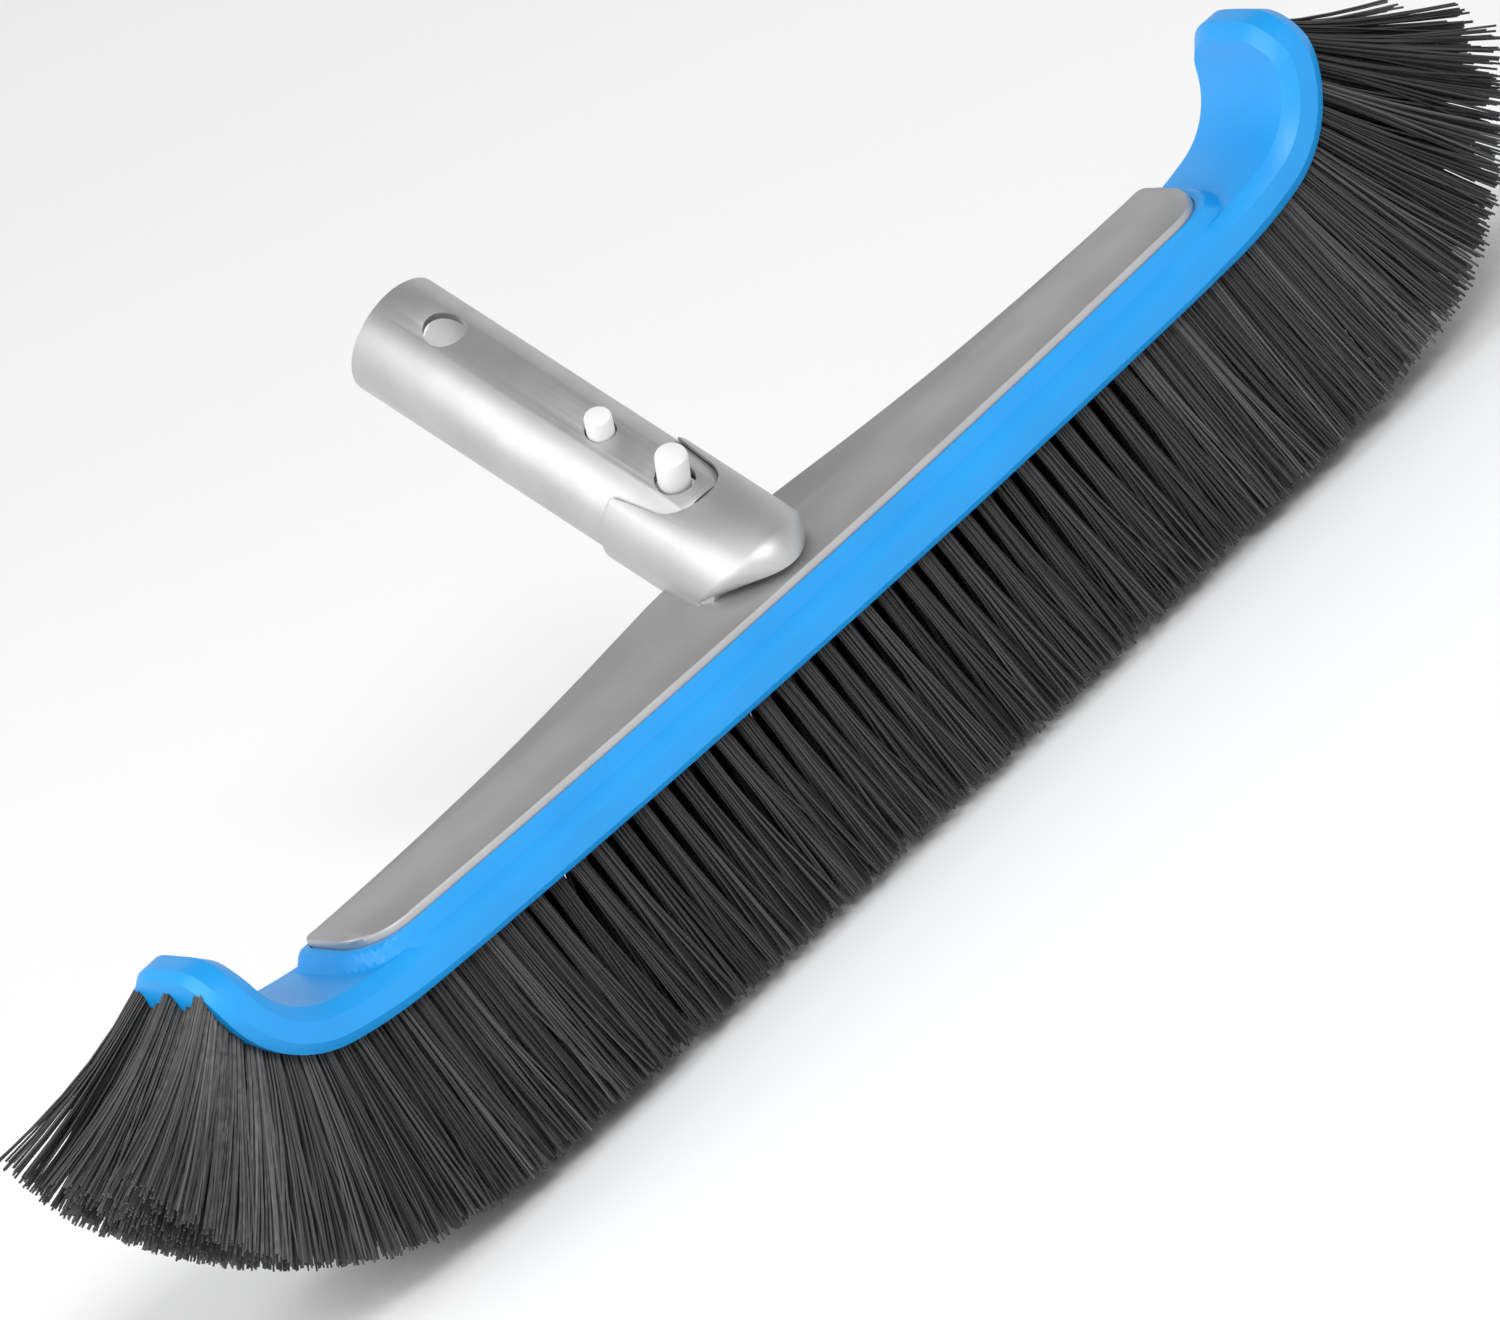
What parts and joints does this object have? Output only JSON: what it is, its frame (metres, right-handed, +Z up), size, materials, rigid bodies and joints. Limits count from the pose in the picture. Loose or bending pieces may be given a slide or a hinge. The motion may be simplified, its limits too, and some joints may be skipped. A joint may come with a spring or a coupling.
{
  "type": "pool wall brush",
  "caption": "Wide pool wall brush with curled block ends, flared nylon bristles and a tilted aluminium pole socket with a sprung lock clip.",
  "frame": {"origin": "below the middle of the whole object, level with the bristle tips that it stands on", "axes": "+X along the brush, +Z up out of the block, away from the bristles; the pole socket leans back towards +Y"},
  "size_m": [0.4348, 0.1274, 0.1355],
  "materials": {
    "blue_polymer": "satin",
    "spine_aluminium": "satin",
    "tube_aluminium": "satin",
    "white_polymer": "satin",
    "steel": "satin",
    "bristle_nylon": "satin"
  },
  "bodies": {
    "brush": {"bristle_bank_01": "bristle_nylon", "bristle_bank_02": "bristle_nylon", "bristle_bank_03": "bristle_nylon", "bristle_bank_04": "bristle_nylon", "bristle_bank_05": "bristle_nylon", "bristle_bank_06": "bristle_nylon", "bristle_bank_07": "bristle_nylon", "bristle_bank_08": "bristle_nylon", "bristle_bank_09": "bristle_nylon", "bristle_bank_10": "bristle_nylon", "bristle_bank_11": "bristle_nylon", "bristle_bank_12": "bristle_nylon", "bristle_bank_13": "bristle_nylon", "bristle_bank_14": "bristle_nylon", "bristle_bank_15": "bristle_nylon", "bristle_bank_16": "bristle_nylon", "bristle_bank_17": "bristle_nylon", "bristle_bank_18": "bristle_nylon", "bristle_bank_19": "bristle_nylon", "bristle_bank_20": "bristle_nylon", "bristle_bank_21": "bristle_nylon", "bristle_bank_22": "bristle_nylon", "bristle_bank_23": "bristle_nylon", "bristle_bank_24": "bristle_nylon", "bristle_bank_25": "bristle_nylon", "bristle_bank_26": "bristle_nylon", "bristle_bank_27": "bristle_nylon", "bristle_bank_28": "bristle_nylon", "bristle_bank_29": "bristle_nylon", "brush_block": "blue_polymer", "clip_yoke": "white_polymer", "handle_tube": "tube_aluminium", "plate_screw_1": "steel", "plate_screw_2": "steel", "plate_screw_3": "steel", "plate_screw_4": "steel", "plate_screw_5": "steel", "plate_screw_6": "steel", "spine_casting": "spine_aluminium"},
    "upper_arm": {"upper_clip_arm": "white_polymer"},
    "lower_arm": {"lower_clip_arm": "white_polymer"}
  },
  "joints": [
    {"name": "upper_clip_press", "type": "hinge", "parent": "brush", "child": "upper_arm", "pos_m": [0, 0.02265, 0.1129], "axis": [1, 0, 0], "range_deg": [0, 8.3], "stiffness_Nm_per_rad": 2, "springref_deg": -3.44},
    {"name": "lower_clip_press", "type": "hinge", "parent": "brush", "child": "lower_arm", "pos_m": [0, 0.03377, 0.09695], "axis": [-1, 0, 0], "range_deg": [0, 8.3], "stiffness_Nm_per_rad": 2, "springref_deg": -3.44}
  ]
}
